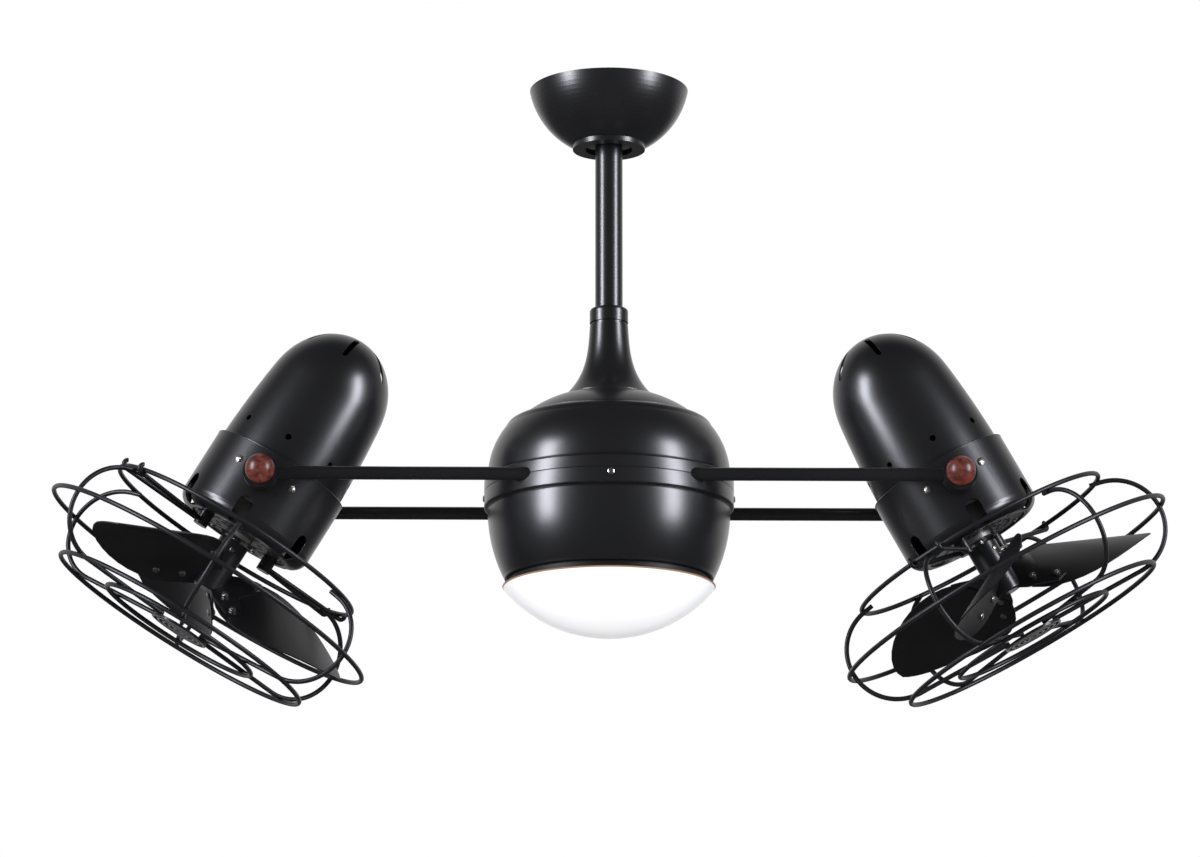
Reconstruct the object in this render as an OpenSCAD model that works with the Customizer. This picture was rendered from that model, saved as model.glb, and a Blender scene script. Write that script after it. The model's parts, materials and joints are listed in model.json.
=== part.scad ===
// Twin head ceiling fan. A canopy and downrod carry a hub that turns, with a glass bowl light
// below it, and two caged fan heads tilt between the ends of two long arm rods.
// Z is up, X runs along the arms, and the origin is on the ceiling at the centre of the canopy.

/* [Ceiling mount] */
// Radius of the canopy at the ceiling
canopy_r = 77.6; // [72:0.1:84]
// Height of the canopy
canopy_h = 55; // [53:0.5:60]
// Radius of the canopy where its bell ends
canopy_end_r = 36; // [35.6:0.1:40]
// Sheet thickness of the canopy
canopy_wall = 1.2; // [1:0.1:1.8]
// Radius of the trim ring below the canopy
trim_r = 35.4; // [34.5:0.1:35.6]
// Height of the trim ring
trim_h = 4.8; // [4:0.1:6]
// Radius of the hole round the downrod
trim_hole_r = 23; // [21:0.1:24]
// Distance between the ceiling box screws
slot_spacing = 88.9; // [84:0.1:96]
// Length of a ceiling box slot
slot_l = 16; // [12:0.5:20]
// Half width of a ceiling box slot
slot_r = 2.6; // [2.3:0.1:3.2]
// Thickness of the bracket strap
strap_t = 2.5; // [2:0.1:3.2]
// Width of the bracket strap
strap_w = 28; // [24:0.5:34]
// Radius of the hanging ball
ball_r = 22; // [21:0.1:23]

/* [Downrod] */
// Depth of the arm plane below the ceiling
arm_z = 405.5; // [380:0.5:900]
// Radius of the downrod
rod_r = 13.35; // [12.7:0.05:14]
// Wall of the downrod
rod_wall = 2.4; // [1.8:0.1:3]
// Radius of the collar at the foot of the downrod
collar_r = 18.7; // [18.2:0.1:20]
// Height of the collar
collar_h = 14.5; // [13:0.5:18]
// Radius of the hub spindle
spindle_r = 10; // [9:0.1:10.4]

/* [Hub] */
// Radius of the belt round the hub
hub_r = 120.2; // [116:0.1:126]
// How far the belt stands out from the housings
belt_step = 3.2; // [2.5:0.1:4]
// Height of the belt above the arm plane
belt_up = 12; // [9:0.5:15]
// Height of the belt below the arm plane
belt_down = 15; // [13:0.5:19]
// Radius of the shoulder of the upper housing
shoulder_r = 101; // [97:0.5:105]
// Height of the shoulder above the arm plane
shoulder_h = 62.5; // [59:0.5:65]
// Radius of the top cap
cap_r = 86.5; // [84:0.1:89]
// Height of the top cap's edge above the arm plane
cap_h = 71; // [69:0.1:74]
// Height of the neck's foot above the arm plane
foot_h = 95.5; // [92:0.1:99]
// Radius of the neck's foot
foot_r = 43; // [40:0.1:46]
// Height of the neck's top above the arm plane
neck_h = 167.5; // [155:0.5:180]
// Radius of the neck at its top
neck_r = 18.5; // [18.2:0.1:20]
// Radius of the lower rim
rim_r = 100.7; // [98:0.1:104]
// Depth of the lower rim below the arm plane
rim_drop = 85; // [80:0.5:95]
// Sheet thickness of the hub covers
hub_wall = 1.5; // [1.2:0.1:2]

/* [Light] */
// Radius of the glass bowl
glass_r = 102.4; // [101:0.1:106]
// Depth of the glass bowl
glass_h = 48; // [35:0.5:60]
// Thickness of the glass
glass_t = 3.5; // [2.5:0.1:5]
// Gap between the lower rim and the glass
glass_gap = 6.5; // [4:0.5:9]

/* [Arms] */
// Distance from the centre to the tilt axes
arm_reach = 330; // [322:1:360]
// Distance of each rod from the centre line
arm_y = 87; // [86:0.5:92]
// Radius of the arm rods
arm_r = 6.35; // [5.5:0.05:7]
// Radius of the sockets at the rod ends
socket_r = 16.4; // [16:0.1:18]
// Radius of the wooden knobs
knob_r = 14; // [13:0.1:15]
// Radius of the pivot studs
stud_r = 4; // [3.5:0.1:4.5]

/* [Fan heads] */
// Tilt of the left head
tilt_left = 31; // [0:1:60]
// Tilt of the right head
tilt_right = 29; // [0:1:60]
// Radius of the motor band
band_r = 69.5; // [69:0.1:71.5]
// Height of the band above the tilt axis
band_up = 26; // [24:0.5:30]
// Depth of the band below the tilt axis
band_down = 50; // [49:0.5:51]
// Radius of the band's rounded lower edge
band_round = 14; // [11:0.5:15]
// Radius of the motor dome at its foot
dome_r = 65.4; // [64:0.1:65.4]
// Radius of the motor dome where its crown begins
dome_top_r = 60.4; // [56:0.1:63]
// Height of the crown's start above the tilt axis
crown_z = 104; // [95:1:115]
// Height of the crown
crown_h = 70.5; // [62:0.5:76]
// Sheet thickness of the motor covers
cover_t = 1.4; // [1:0.1:1.6]
// Radius of the motor shaft
shaft_r = 4.5; // [4:0.1:5]

/* [Fan] */
// Length of the blades from the fan's axis
fan_r = 158; // [146:0.5:160]
// Widest chord of a blade
blade_w = 115; // [96:1:118]
// Pitch of the blades at mid length
blade_pitch = 30; // [24:1:33]
// Twist of the blades' bend against their length
blade_twist = 34; // [26:1:38]
// Droop of the blades toward the front
blade_cone = 10.5; // [6:0.5:12]
// Radius of the blades' bend
bend_r = 137; // [125:1:180]
// Sheet thickness of the blades
blade_t = 1.2; // [0.8:0.1:1.8]
// Radius of the fan hub
fan_hub_r = 15; // [14:0.1:17]

/* [Cage] */
// Radius of the cage wires
wire_r = 2.3; // [2:0.05:2.5]
// Radius of the ribs' bulge
bulge_r = 47.5; // [46:0.5:49]
// Radius at which the ribs' bulge is centred
bulge_at = 121.5; // [119:0.5:124]
// Depth of the widest ring below the tilt axis
cage_mid = 105.5; // [104:0.5:107]
// Radius of the inner front ring
inner_ring_r = 80.6; // [70:0.5:95]
// Radius of the front badge
badge_r = 30; // [26:0.5:36]

/* [Hidden] */
$fn = 96;
fit = 0.05;
slack = 0.3;

// Ceiling mount
ball_z = strap_t + 3.5 + ball_r;
seat_high = ball_z + 5;
seat_low = ball_z + 14;
leg_x = ball_r + 3;
leg_w = 14;
foot_l = 9;
foot_screw_x = leg_x + 5;
foot_screw_r = 1.6;
flange_z = canopy_h - canopy_wall;
trim_wall = 1.2;

// Downrod and spindle
neck_top = neck_h - arm_z;
groove_h = 2.5;
collar_low = neck_top + groove_h;
collar_top = collar_low + collar_h;
collar_floor = 2;
plug_r = rod_r - rod_wall - fit;
plug_l = 26;
top_pin_r = 3;
foot_pin_r = 2.5;
foot_pin_z = collar_low + 7;

// Hub, with heights measured from the arm plane
belt_in_r = hub_r - belt_step;
lip_h = 11;
bearing_r = 19;
bearing_h = 10;
drum_r = 46;
drum_wall = 4;
drum_low = 10;
drum_high = 50;
hub_low = -8;
plate_top = cap_h - hub_wall;
plate_r = cap_r - 1.5;
plate_t = 3;
ear_x = 32;
ear_w = 16;
ear_r = 11;
ear_h = 18;
spindle_low = -30;
slip_r = 15;
slip_low = -26;
slip_high = hub_low + 2;
screw_drop = 5;

// Light, with heights measured from the arm plane
glass_top = -rim_drop - glass_gap;
pan_z = 5 - rim_drop;
pan_t = 1.5;
fitter_r = 96.8;
pan_post = 4;

// Sockets, knobs and studs
socket_in = arm_y - 9;
socket_out = arm_y + 10;
knob_y = socket_out + 9;
rod_end = arm_reach - stud_r - 5;
stud_out = knob_y + 4;

// Fan heads, measured from the tilt axis, with -Z toward the cage
skirt_low = -4;
plate_in = dome_r + 0.2;
bracket_t = band_r - cover_t - plate_in - 0.7;
bracket_w = 16;
spacer_r = 9;
lip_r = 52;
face_z = cover_t - band_down;
face_r = 55;
face_t = 1.6;
can_r = 47;
can_low = face_z + face_t;
can_top = 16;
can_wall = 2;
boss_r = 14.5;
boss_low = -52;
race_r = 8.5;
race_h = 7;
stator_r = can_r - can_wall - fit;
rotor_r = 26;
core_low = -34;
core_top = -2;
dome_hole_z = 47;
dome_hole_r = 3;
screw_z = 5;
screw_turn = 25;
screw_places = [for (a = [90, 270], turn = [-screw_turn, screw_turn]) a + turn];
vent_r = 7.6;
vent_z = -30;
crown_slot_r = 2.7;
crown_slot = [24, 46];

// Fan
blade_z = -90;
hub_top = -57;
hub_foot = -110;
hub_edge = 2.5;
blade_root = 24;
root_half = 30;
tip_half = 15.5;
tip_bow = 2.5;
blade_sweep = 14.5;
bend_mid = 85;
arm_sheet = 2;
screw_spots = [[33, 30], [29, -16], [50, -30]];
arm_outline = [[4, -11], [20, -24], [48, -38], [57, -34], [56, -24], [38, -8],
               [41, 27], [36, 38], [27, 37], [4, 12]];
blade_screw_r = 2;

// Cage
rib_end = 79;
stub_l = 11;
front_z = -cage_mid - bulge_r;
weld = 1.7 * wire_r;
lap = 0.8;
straight_r = wire_r - 0.06;
rear_ring_r = bulge_at + bulge_r * cos(rib_end);
rear_ring_z = -cage_mid + bulge_r * sin(rib_end) + weld;
spoke_z = rear_ring_z - weld;
clamp_at = 42;
clamp_r = 7;
spoke_spread = 7;
left_ribs = 37;
left_spokes = [37, -143];
left_blades_at = 47;
right_ribs = -2;
right_spokes = [58, -122];
right_blades_at = -117;

// Points of the arc from p to q that bulges by s to the left of the way there
function bow(p, q, s, n = 8) =
    let (c = norm(q - p), r = (c * c / 4 + s * s) / (2 * s), a = asin(c / 2 / r))
    let (v = (q - p) / c, w = [-v.y, v.x], m = (p + q) / 2 - w * (r - s))
    [for (i = [0:n]) let (t = a * (2 * i / n - 1)) m + r * (w * cos(t) + v * sin(t))];

// Points of the quarter round between two points of an outline
function round_over(p, q) = bow(p, q, -0.2071 * norm(q - p), 5);

// Direction to the left of a path at its point i, and straight up or down on the axis
function left_of(path, i) =
    let (v = path[min(i + 1, len(path) - 1)] - path[max(i - 1, 0)], w = [-v.y, v.x] / norm(v))
    path[i].x < 0.001 ? [0, sign(w.y)] : w;

// Outline of a sheet that has the path as its outer face and lies to the left of it
function sheet(path, t) =
    concat(path, [for (i = [len(path) - 1:-1:0]) path[i] + t * left_of(path, i)]);

// Turned sheet metal cover
module spun(path, t) {
    rotate_extrude() polygon(sheet(path, t));
}

module ring(r, z, wire = wire_r) {
    translate([0, 0, z]) rotate_extrude() translate([r, 0]) circle(r = wire, $fn = 24);
}

module tube(outer, inner, low, high) {
    translate([0, 0, low]) difference() {
        cylinder(r = outer, h = high - low);
        translate([0, 0, -1]) cylinder(r = inner, h = high - low + 2);
    }
}

// Straight round bar from a to b
module bar(a, b, r) {
    v = b - a;
    translate(a) rotate([0, acos(v.z / norm(v)), atan2(v.y, v.x)]) cylinder(r = r, h = norm(v));
}

// Pin along X or Y, centred on the axis of the downrod at height z
module cross_pin(r, half, z, turn) {
    translate([0, 0, z]) rotate([90, 0, turn]) cylinder(r = r, h = 2 * half, center = true);
}

module at_arm_plane() {
    translate([0, 0, -arm_z]) children();
}

// Frame of the left or right fan head, with X outward. The heads are alike, half a turn apart
module head(side) {
    tilt = side < 0 ? tilt_left : tilt_right;
    rotate([0, 0, side < 0 ? 180 : 0]) translate([arm_reach, 0, -arm_z]) rotate([0, -tilt, 0]) children();
}

// Frame of blade number i, with X along the blade and its bend's crest at Z = 0
module blade_frame(start, i) {
    rotate([0, 0, start + 120 * i]) translate([0, 0, blade_z]) rotate([0, blade_cone, 0])
        rotate([blade_pitch, 0, 0]) children();
}

// Places of the screws through a blade, each square to the bent sheet there
module at_blade_screws() {
    for (p = screw_spots) {
        v = p.y * cos(blade_twist) + (p.x - bend_mid) * sin(blade_twist);
        translate([p.x, p.y, sqrt(bend_r * bend_r - v * v) - bend_r])
            rotate([0, 0, -blade_twist]) rotate([asin(-v / bend_r), 0, 0]) children();
    }
}

module blade_screw_holes() {
    at_blade_screws() cylinder(r = blade_screw_r + fit, h = 20, center = true);
}

// Sheet that bends round a long cylinder, between two distances from the crest
module bent_sheet(low, high, outline) {
    intersection() {
        translate([bend_mid, 0, -bend_r]) rotate([0, 90, -blade_twist]) difference() {
            cylinder(r = bend_r + high, h = 3 * fan_r, center = true, $fn = 180);
            cylinder(r = bend_r + low, h = 3 * fan_r + 2, center = true, $fn = 180);
        }
        translate([0, 0, -blade_w / 2]) linear_extrude(blade_w) polygon(outline);
    }
}

/* Ceiling mount */
module ceiling_bracket() color("silver") {
    strap_l = slot_spacing + slot_l + 9;
    difference() {
        union() {
            translate([-strap_l / 2, -strap_w / 2, -strap_t]) cube([strap_l, strap_w, strap_t]);
            for (s = [0, 180]) rotate([0, 0, s]) {
                translate([leg_x, -leg_w / 2, -flange_z]) cube([strap_t, leg_w, flange_z - 1]);
                translate([leg_x, -leg_w / 2, -flange_z]) cube([foot_l, leg_w, strap_t]);
            }
            tube(leg_x + strap_t, ball_r - 6, -seat_low, -seat_high);
        }
        translate([0, 0, -ball_z]) sphere(r = ball_r + slack);
        for (s = [-1, 1], e = [-1, 1])
            translate([s * slot_spacing / 2 + e * (slot_l / 2 - slot_r), 0, -strap_t - 1])
                cylinder(r = slot_r, h = strap_t + 2);
        for (s = [-1, 1])
            translate([s * slot_spacing / 2 - slot_l / 2 + slot_r, -slot_r, -strap_t - 1])
                cube([slot_l - 2 * slot_r, 2 * slot_r, strap_t + 2]);
        for (s = [-1, 1]) translate([s * foot_screw_x, 0, -flange_z - 1])
            cylinder(r = foot_screw_r + fit, h = strap_t + 2);
    }
}

module canopy() color([0.1, 0.1, 0.11]) {
    centre_z = (canopy_r * canopy_r - canopy_end_r * canopy_end_r - canopy_h * canopy_h) / (2 * canopy_h);
    bell_r = norm([canopy_r, centre_z]);
    low = atan2(-canopy_h - centre_z, canopy_end_r);
    high = atan2(-centre_z, canopy_r);
    bell = [for (i = [0:16]) let (a = low + (high - low) * i / 16)
        [bell_r * cos(a), centre_z + bell_r * sin(a)]];
    difference() {
        spun(concat([[trim_hole_r + 1, -canopy_h]], bell), canopy_wall);
        for (s = [-1, 1]) translate([s * foot_screw_x, 0, -canopy_h - 1])
            cylinder(r = foot_screw_r + slack, h = canopy_wall + 2);
    }
}

module canopy_screws() color("silver") {
    for (s = [-1, 1]) translate([s * foot_screw_x, 0, 0]) {
        translate([0, 0, -canopy_h]) cylinder(r = foot_screw_r, h = canopy_wall + strap_t + 1.5);
        translate([0, 0, -canopy_h - 1.8]) cylinder(r = foot_screw_r + 1.4, h = 1.8);
    }
}

module trim_ring() color([0.1, 0.1, 0.11]) {
    difference() {
        tube(trim_r, trim_hole_r, -canopy_h - trim_h, -canopy_h);
        tube(trim_r - trim_wall, trim_hole_r + trim_wall, -canopy_h - trim_h + trim_wall, -canopy_h + 1);
    }
}

/* Downrod, with the fixed inner parts of the hub */
module hanging_ball() color("dimgray") {
    difference() {
        translate([0, 0, -ball_z]) sphere(r = ball_r);
        translate([0, 0, -ball_z]) cylinder(r = rod_r + fit, h = 3 * ball_r, center = true);
        cross_pin(top_pin_r + fit, ball_r + 1, -ball_z, 0);
    }
}

module downrod() color([0.1, 0.1, 0.11]) {
    difference() {
        tube(rod_r, rod_r - rod_wall, collar_low + collar_floor, -ball_z + ball_r - 6);
        cross_pin(top_pin_r + fit, ball_r, -ball_z, 0);
        cross_pin(foot_pin_r + fit, collar_r, foot_pin_z, 90);
    }
}

module cross_pins() color("silver") {
    cross_pin(top_pin_r, ball_r - 3, -ball_z, 0);
    cross_pin(foot_pin_r, collar_r - 0.8, foot_pin_z, 90);
}

module rod_collar() color([0.1, 0.1, 0.11]) {
    top_round = 3.5;
    outer = concat([[collar_r, collar_low]],
                   round_over([collar_r, collar_top - top_round], [collar_r - top_round, collar_top]));
    difference() {
        rotate_extrude() polygon(concat([[0, collar_low]], outer, [[0, collar_top]]));
        translate([0, 0, collar_low + collar_floor]) cylinder(r = rod_r + fit, h = collar_h);
        translate([0, 0, collar_low - 1]) cylinder(r = spindle_r + fit, h = collar_h);
        cross_pin(foot_pin_r + fit, collar_r + 1, foot_pin_z, 90);
    }
    tube(collar_r - 1.4, spindle_r + fit, neck_top + slack, collar_low);
}

module spindle() color("silver") {
    plug_z = collar_low + collar_floor;
    foot_z = spindle_low - arm_z;
    difference() {
        union() {
            translate([0, 0, plug_z]) cylinder(r = plug_r, h = plug_l);
            translate([0, 0, foot_z]) cylinder(r = spindle_r, h = plug_z + 1 - foot_z);
            translate([0, 0, foot_z]) cylinder(r = spindle_r + 3, h = slip_low - spindle_low);
        }
        cross_pin(foot_pin_r + fit, collar_r, foot_pin_z, 90);
        translate([0, 0, foot_z - 1]) cylinder(r = spindle_r / 2, h = arm_z);
    }
}

module turn_stator() color("peru") at_arm_plane() {
    tube(drum_r - 10, spindle_r + fit, drum_low + 4, drum_high - 6);
}

module slip_ring() color("goldenrod") at_arm_plane() {
    difference() {
        tube(slip_r, spindle_r + fit, slip_low, slip_high - slack);
        for (z = [slip_low + 3:5:slip_high - 5]) tube(slip_r + 1, slip_r - 1, z, z + 2);
    }
}

module hub_bearings() color("silver") at_arm_plane() {
    for (z = [slip_high, drum_high + 4]) {
        tube(bearing_r - fit, bearing_r - 3, z, z + bearing_h);
        tube(spindle_r + 2.5, spindle_r + fit, z, z + bearing_h);
        tube(bearing_r - 2.8, spindle_r + 2.3, z + 2, z + bearing_h - 2);
    }
}

/* Turning hub */
module turn_rotor() color("dimgray") at_arm_plane() {
    tube(drum_r - fit, drum_r - 9, drum_low, drum_high - 4);
}

module brush_block() color("saddlebrown") at_arm_plane() {
    translate([slip_r + slack, -7, slip_low + 2]) cube([14, 14, hub_low - slip_low - 2]);
}

module arm_carrier() color("gray") at_arm_plane() {
    difference() {
        union() {
            translate([0, 0, hub_low]) cylinder(r = drum_r + drum_wall, h = plate_top - hub_low);
            translate([0, 0, plate_top - plate_t]) cylinder(r = plate_r, h = plate_t);
            for (x = [-ear_x, ear_x], s = [-1, 1]) {
                translate([x - ear_w / 2, min(s * drum_r / 2, s * arm_y), -ear_h / 2])
                    cube([ear_w, arm_y - drum_r / 2, ear_h]);
                translate([x, s * arm_y, 0]) rotate([0, 90, 0])
                    cylinder(r = ear_r, h = ear_w, center = true);
            }
        }
        translate([0, 0, hub_low - 1]) cylinder(r = bearing_r, h = plate_top - hub_low + 2);
        translate([0, 0, drum_low]) cylinder(r = drum_r, h = drum_high - drum_low);
        for (s = [-1, 1]) translate([0, s * arm_y, 0]) rotate([0, 90, 0])
            cylinder(r = arm_r + fit, h = 2 * hub_r, center = true);
        for (a = [30:60:330]) rotate([0, 0, a]) translate([(drum_r + plate_r) / 2 + 2, 0, 0])
            cylinder(r = 9, h = cap_h);
    }
}

module neck_cover() color([0.1, 0.1, 0.11]) at_arm_plane() {
    lean = 4.5;
    edge = 1.5;
    flare_r = foot_r - neck_r - lean;
    flare = [for (i = [0:16]) let (u = 1 - i / 16)
        [neck_r + lean * u + flare_r * pow(u, 3.3), neck_h - (neck_h - foot_h - edge) * u]];
    spun(concat([[foot_r, foot_h]], flare), hub_wall);
}

module top_cap() color([0.1, 0.1, 0.11]) at_arm_plane() {
    edge = 1.5;
    spun(concat([[cap_r, cap_h]], bow([cap_r, cap_h + edge], [foot_r + 0.8, foot_h], 2.2),
                [[foot_r - 4, foot_h]]), hub_wall);
}

// Round openings at the seam for the arm rods
module arm_openings() {
    for (s = [-1, 1]) translate([0, s * arm_y, 0]) rotate([0, 90, 0])
        cylinder(r = arm_r + 1.2, h = 3 * hub_r, center = true);
}

module upper_housing() color([0.1, 0.1, 0.11]) at_arm_plane() {
    groove = 1.2;
    shoulder = bow([belt_in_r, belt_up + groove], [shoulder_r, shoulder_h], -4.5);
    difference() {
        union() {
            spun(concat([[hub_r, 0], [hub_r, belt_up], [belt_in_r, belt_up + 0.01]], shoulder,
                        [[cap_r + 1.5, cap_h], [plate_r - 4, cap_h]]), hub_wall);
            tube(hub_r - hub_wall - slack, hub_r - 2 * hub_wall - slack, -lip_h, belt_up - hub_wall - 1);
            tube(hub_r - hub_wall / 2, hub_r - 1.8 * hub_wall - slack, 2, 5);
        }
        arm_openings();
        housing_screw_holes(1.4);
    }
}

module lower_housing() color([0.1, 0.1, 0.11]) at_arm_plane() {
    groove = 1.2;
    difference() {
        spun(concat(bow([rim_r, -rim_drop], [belt_in_r, -belt_down - groove], -4),
                    [[belt_in_r, -belt_down - 0.01], [hub_r, -belt_down], [hub_r, 0]]), hub_wall);
        arm_openings();
        housing_screw_holes(1.7);
    }
}

module housing_screw_holes(r) {
    for (a = [0:90:270]) rotate([0, 0, a]) translate([hub_r - 5, 0, -screw_drop]) rotate([0, 90, 0])
        cylinder(r = r, h = 8);
}

module housing_screws() color("silver") at_arm_plane() {
    for (a = [0:90:270]) rotate([0, 0, a]) translate([0, 0, -screw_drop]) rotate([0, 90, 0]) {
        translate([0, 0, hub_r - 4.2]) cylinder(r = 1.35, h = 4.2);
        translate([0, 0, hub_r]) cylinder(r = 2.8, h = 0.8);
        translate([0, 0, hub_r + 0.8]) cylinder(r = 1.9, h = 0.7);
    }
}

module arm_rods() color([0.1, 0.1, 0.11]) at_arm_plane() {
    for (s = [-1, 1]) translate([0, s * arm_y, 0]) rotate([0, 90, 0])
        cylinder(r = arm_r, h = 2 * rod_end, center = true);
}

module arm_sockets() color([0.1, 0.1, 0.11]) at_arm_plane() {
    for (x = [-1, 1], s = [-1, 1]) difference() {
        translate([x * arm_reach, s * socket_in, 0]) rotate([-90 * s, 0, 0])
            cylinder(r = socket_r, h = socket_out - socket_in);
        translate([x * arm_reach, s * knob_y, 0]) sphere(r = knob_r + slack);
        translate([x * arm_reach, 0, 0]) rotate([-90 * s, 0, 0]) cylinder(r = stud_r + fit, h = knob_y);
        translate([x * (rod_end / 2 + 0.1), s * arm_y, 0]) rotate([0, 90, 0])
            cylinder(r = arm_r + fit, h = rod_end, center = true);
    }
}

/* Light */
module lamp_pan() color([0.15, 0.15, 0.16]) at_arm_plane() {
    edge_r = rim_r - hub_wall - slack;
    difference() {
        translate([0, 0, pan_z]) cylinder(r = edge_r, h = pan_t);
        for (s = [-1, 1]) translate([s * 20, 0, pan_z - 1]) cylinder(r = 5, h = pan_t + 2);
    }
    tube(fitter_r, fitter_r - 1.5, glass_top, pan_z);
    tube(glass_r - 1, fitter_r - 1.5, glass_top, glass_top + 1.2);
    for (x = [-ear_x, ear_x], y = [-1, 1])
        translate([x, y * (arm_y - 16), pan_z]) cylinder(r = pan_post, h = -ear_h / 2 - pan_z);
}

module led_board() color("whitesmoke") at_arm_plane() {
    translate([0, 0, pan_z - 1.6]) cylinder(r = fitter_r - 8, h = 1.6);
    for (n = [10, 20], i = [0:n - 1]) rotate([0, 0, i * 360 / n])
        translate([n * 3.6, -1.5, pan_z - 2.4]) cube([3, 3, 0.9]);
}

module led_driver() color("white") at_arm_plane() {
    translate([-38, -20, pan_z + pan_t]) cube([76, 40, 22]);
}

module glass_bowl() color([0.98, 0.98, 0.96]) at_arm_plane() {
    bowl_r = (glass_r * glass_r + glass_h * glass_h) / (2 * glass_h);
    full = asin(glass_r / bowl_r);
    centre = glass_top - glass_h + bowl_r;
    difference() {
        rotate_extrude() polygon(sheet([for (i = [0:20]) let (a = full * i / 20)
            [bowl_r * sin(a), centre - bowl_r * cos(a)]], glass_t));
        translate([0, 0, glass_top]) cylinder(r = glass_r + 5, h = 10);
    }
}

/* Fan heads, the tilting parts */
module motor_dome(side) color([0.1, 0.1, 0.11]) head(side) {
    crown = [for (a = [0:5:90]) [a == 90 ? 0 : dome_top_r * cos(a), crown_z + crown_h * sin(a)]];
    wall = bow([dome_r, band_up], [dome_top_r, crown_z], -0.8);
    difference() {
        spun(concat([[dome_r, skirt_low]], [for (i = [0:len(wall) - 2]) wall[i]], crown), cover_t);
        for (a = [0:45:315]) rotate([0, 0, a]) translate([dome_r - 10, 0, dome_hole_z]) rotate([0, 90, 0])
            cylinder(r = dome_hole_r, h = 14);
        for (a = [30:60:330]) rotate([0, 0, a]) translate([0, 0, crown_z + 10]) {
            for (x = crown_slot) translate([x, 0, 0]) cylinder(r = crown_slot_r, h = crown_h);
            translate([crown_slot[0], -crown_slot_r, 0])
                cube([crown_slot[1] - crown_slot[0], 2 * crown_slot_r, crown_h]);
        }
        dome_screw_set(2.15);
    }
}

module motor_band(side) color([0.1, 0.1, 0.11]) head(side) {
    foot = [for (i = [0:8]) let (a = -90 + 90 * i / 8)
        [band_r - band_round + band_round * cos(a), band_round - band_down + band_round * sin(a)]];
    top = [[band_r, band_up], [dome_r + 0.4, band_up + 0.01]];
    difference() {
        spun(concat([[lip_r, -band_down]], foot, top), cover_t);
        for (a = [30:60:330]) rotate([0, 0, a]) {
            translate([lip_r + 4, 0, vent_z]) rotate([0, 90, 0]) cylinder(r = vent_r, h = 20);
            translate([lip_r + 4, -vent_r, -band_down - 1]) cube([20, 2 * vent_r, vent_z + band_down + 1]);
        }
        for (s = [-1, 1]) rotate([-90 * s, 0, 0]) cylinder(r = stud_r + slack, h = band_r + 1);
        dome_screw_set(2.15);
    }
}

module face_plate(side) color("dimgray") head(side) {
    difference() {
        translate([0, 0, face_z]) cylinder(r = face_r, h = face_t);
        translate([0, 0, face_z - 1]) cylinder(r = boss_r + slack, h = face_t + 2);
        for (n = [12, 24], i = [0:n - 1]) rotate([0, 0, (i + 0.5) * 360 / n])
            translate([n == 12 ? 24 : 35, 0, face_z - 1]) cylinder(r = 3.2, h = face_t + 2);
    }
}

module motor_can(side) color("silver") head(side) {
    difference() {
        union() {
            translate([0, 0, can_low]) cylinder(r = can_r, h = can_top - can_low);
            translate([0, 0, boss_low]) cylinder(r = boss_r, h = can_low - boss_low + 1);
        }
        translate([0, 0, core_low - 8]) cylinder(r = can_r - can_wall, h = core_top - core_low + 14);
        translate([0, 0, boss_low - 1]) cylinder(r = race_r, h = can_top - boss_low - 1);
    }
}

module stator(side) color("peru") head(side) {
    tube(stator_r, rotor_r + 0.6, core_low, core_top);
    for (z = [core_low, core_top]) translate([0, 0, z]) rotate_extrude()
        translate([(stator_r + rotor_r) / 2, 0]) circle(r = 5.5, $fn = 32);
}

module bearings(side) color("silver") head(side) {
    for (z = [boss_low + 1, core_top + 8]) {
        tube(race_r - fit, race_r - 1.3, z, z + race_h);
        tube(shaft_r + 1.3, shaft_r + fit, z, z + race_h);
        tube(race_r - 1.1, shaft_r + 1.1, z + 1.5, z + race_h - 1.5);
    }
}

module pivot_brackets(side) color("silver") head(side) {
    for (s = [-1, 1]) {
        translate([-bracket_w / 2, min(s * plate_in, s * (plate_in + bracket_t)), -26])
            cube([bracket_w, bracket_t, 44]);
        rotate([-90 * s, 0, 0]) {
            translate([0, 0, plate_in]) cylinder(r = stud_r, h = stud_out - plate_in);
            translate([0, 0, band_r]) cylinder(r = spacer_r, h = socket_in - slack - band_r);
        }
    }
}

// Screws that hold the dome's skirt inside the band, on both sides of each knob
module dome_screw_set(r) {
    start = dome_r - 4;
    for (a = screw_places) rotate([0, 0, a])
        translate([start, 0, screw_z]) rotate([0, 90, 0]) cylinder(r = r, h = band_r + fit - start);
}

module dome_screws(side) color("silver") head(side) {
    dome_screw_set(2);
    for (a = screw_places) rotate([0, 0, a])
        translate([band_r, 0, screw_z]) rotate([0, 90, 0]) {
            cylinder(r = 3.7, h = 0.9);
            translate([0, 0, 0.8]) cylinder(r = 2.6, h = 0.9);
        }
}

/* Fan heads, the wire cage */
module spokes(places, grow) {
    for (a = places, s = [-1, 1]) {
        foot = [clamp_at * cos(a + s * 4), clamp_at * sin(a + s * 4), spoke_z];
        turn = a + s * spoke_spread;
        reach = rear_ring_r + 3;
        bar(foot, [reach * cos(turn), reach * sin(turn), spoke_z], wire_r + grow);
    }
}

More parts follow.
